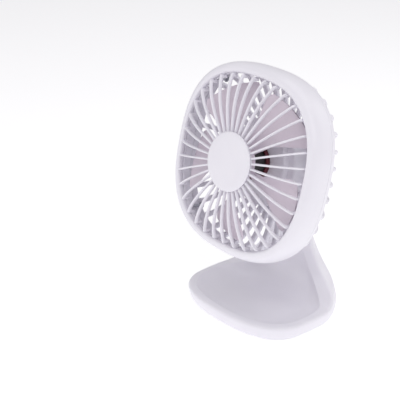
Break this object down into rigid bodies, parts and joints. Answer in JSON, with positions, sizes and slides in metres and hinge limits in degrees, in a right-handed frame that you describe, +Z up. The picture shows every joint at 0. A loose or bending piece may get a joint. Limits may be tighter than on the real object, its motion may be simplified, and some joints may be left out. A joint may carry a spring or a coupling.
{
  "type": "desk fan",
  "caption": "Rechargeable desk fan: a rounded-square caged fan head that tilts on a hinge over a one-piece scooped foot and neck.",
  "frame": {"origin": "middle of the underside of the grip pad, on the desk", "axes": "+Z up, the fan blows towards -Y, +X to the right seen from behind the fan"},
  "size_m": [0.1472, 0.089, 0.2013],
  "materials": {
    "shell_white": "smooth satin moulded plastic, white with a cool cast",
    "inner_white": "matt moulded plastic",
    "blade_white": "smooth moulded plastic",
    "button_grey": "smooth moulded plastic",
    "rubber_grey": "matt soft rubber",
    "steel": "plain zinc-plated steel",
    "brass": "turned brass",
    "black_plastic": "matt black plastic",
    "motor_black": "black painted steel",
    "magnet_dark": "sintered magnet",
    "copper": "laminations wound with enamelled wire",
    "cell_foil": "laminated foil pouch",
    "board_green": "printed circuit board",
    "red_plastic": "red insulation and rubber",
    "lens_clear": "clear moulded light guide"
  },
  "bodies": {
    "stand": {"stand_shell": "shell_white", "stand_base": "inner_white", "ballast_plate": "steel", "grip_pad": "rubber_grey", "stand_screw_1": "steel", "stand_screw_2": "steel", "stand_screw_3": "steel", "stand_screw_4": "steel", "hinge_pin": "steel", "hinge_nut": "steel", "hinge_washer_left": "black_plastic", "hinge_washer_right": "black_plastic", "hinge_cap_left": "inner_white", "hinge_cap_right": "inner_white"},
    "head": {"front_shell": "shell_white", "front_grille": "shell_white", "front_badge": "shell_white", "rear_grille": "shell_white", "shell_screw_1": "steel", "shell_screw_2": "steel", "shell_screw_3": "steel", "shell_screw_4": "steel", "motor_can": "motor_black", "motor_bush": "brass", "motor_magnet": "magnet_dark", "motor_bell": "black_plastic", "motor_sleeve": "red_plastic", "motor_bracket": "steel", "bracket_screw_1": "steel", "bracket_screw_2": "steel", "battery_pad": "rubber_grey", "battery": "cell_foil", "control_board": "board_green", "board_screw_1": "steel", "board_screw_2": "steel", "tact_switch": "black_plastic", "control_chip": "black_plastic", "led_strip": "lens_clear", "status_lens": "lens_clear", "usb_socket": "steel", "pod_cover": "shell_white", "cover_screw_1": "steel", "cover_screw_2": "steel", "cover_screw_3": "steel", "motor_lead_red": "red_plastic", "motor_lead_black": "black_plastic", "battery_lead_red": "red_plastic", "battery_lead_black": "black_plastic"},
    "rotor": {"impeller": "blade_white", "motor_shaft": "steel", "motor_core": "copper", "motor_commutator": "brass"},
    "button": {"power_button": "button_grey"}
  },
  "joints": [
    {"name": "head_tilt", "type": "hinge", "parent": "stand", "child": "head", "pos_m": [0, 0.02283, 0.07764], "axis": [-1, 0, 0], "range_deg": [-20, 50]},
    {"name": "impeller_spin", "type": "hinge", "parent": "head", "child": "rotor", "pos_m": [0, -0.02, 0.132], "axis": [0, -0.9686, 0.2487], "continuous": true},
    {"name": "power_press", "type": "slide", "parent": "head", "child": "button", "axis": [0, -0.9686, 0.2487], "range_m": [0, 0.001], "stiffness_N_per_m": 300, "springref_m": -0.001}
  ]
}
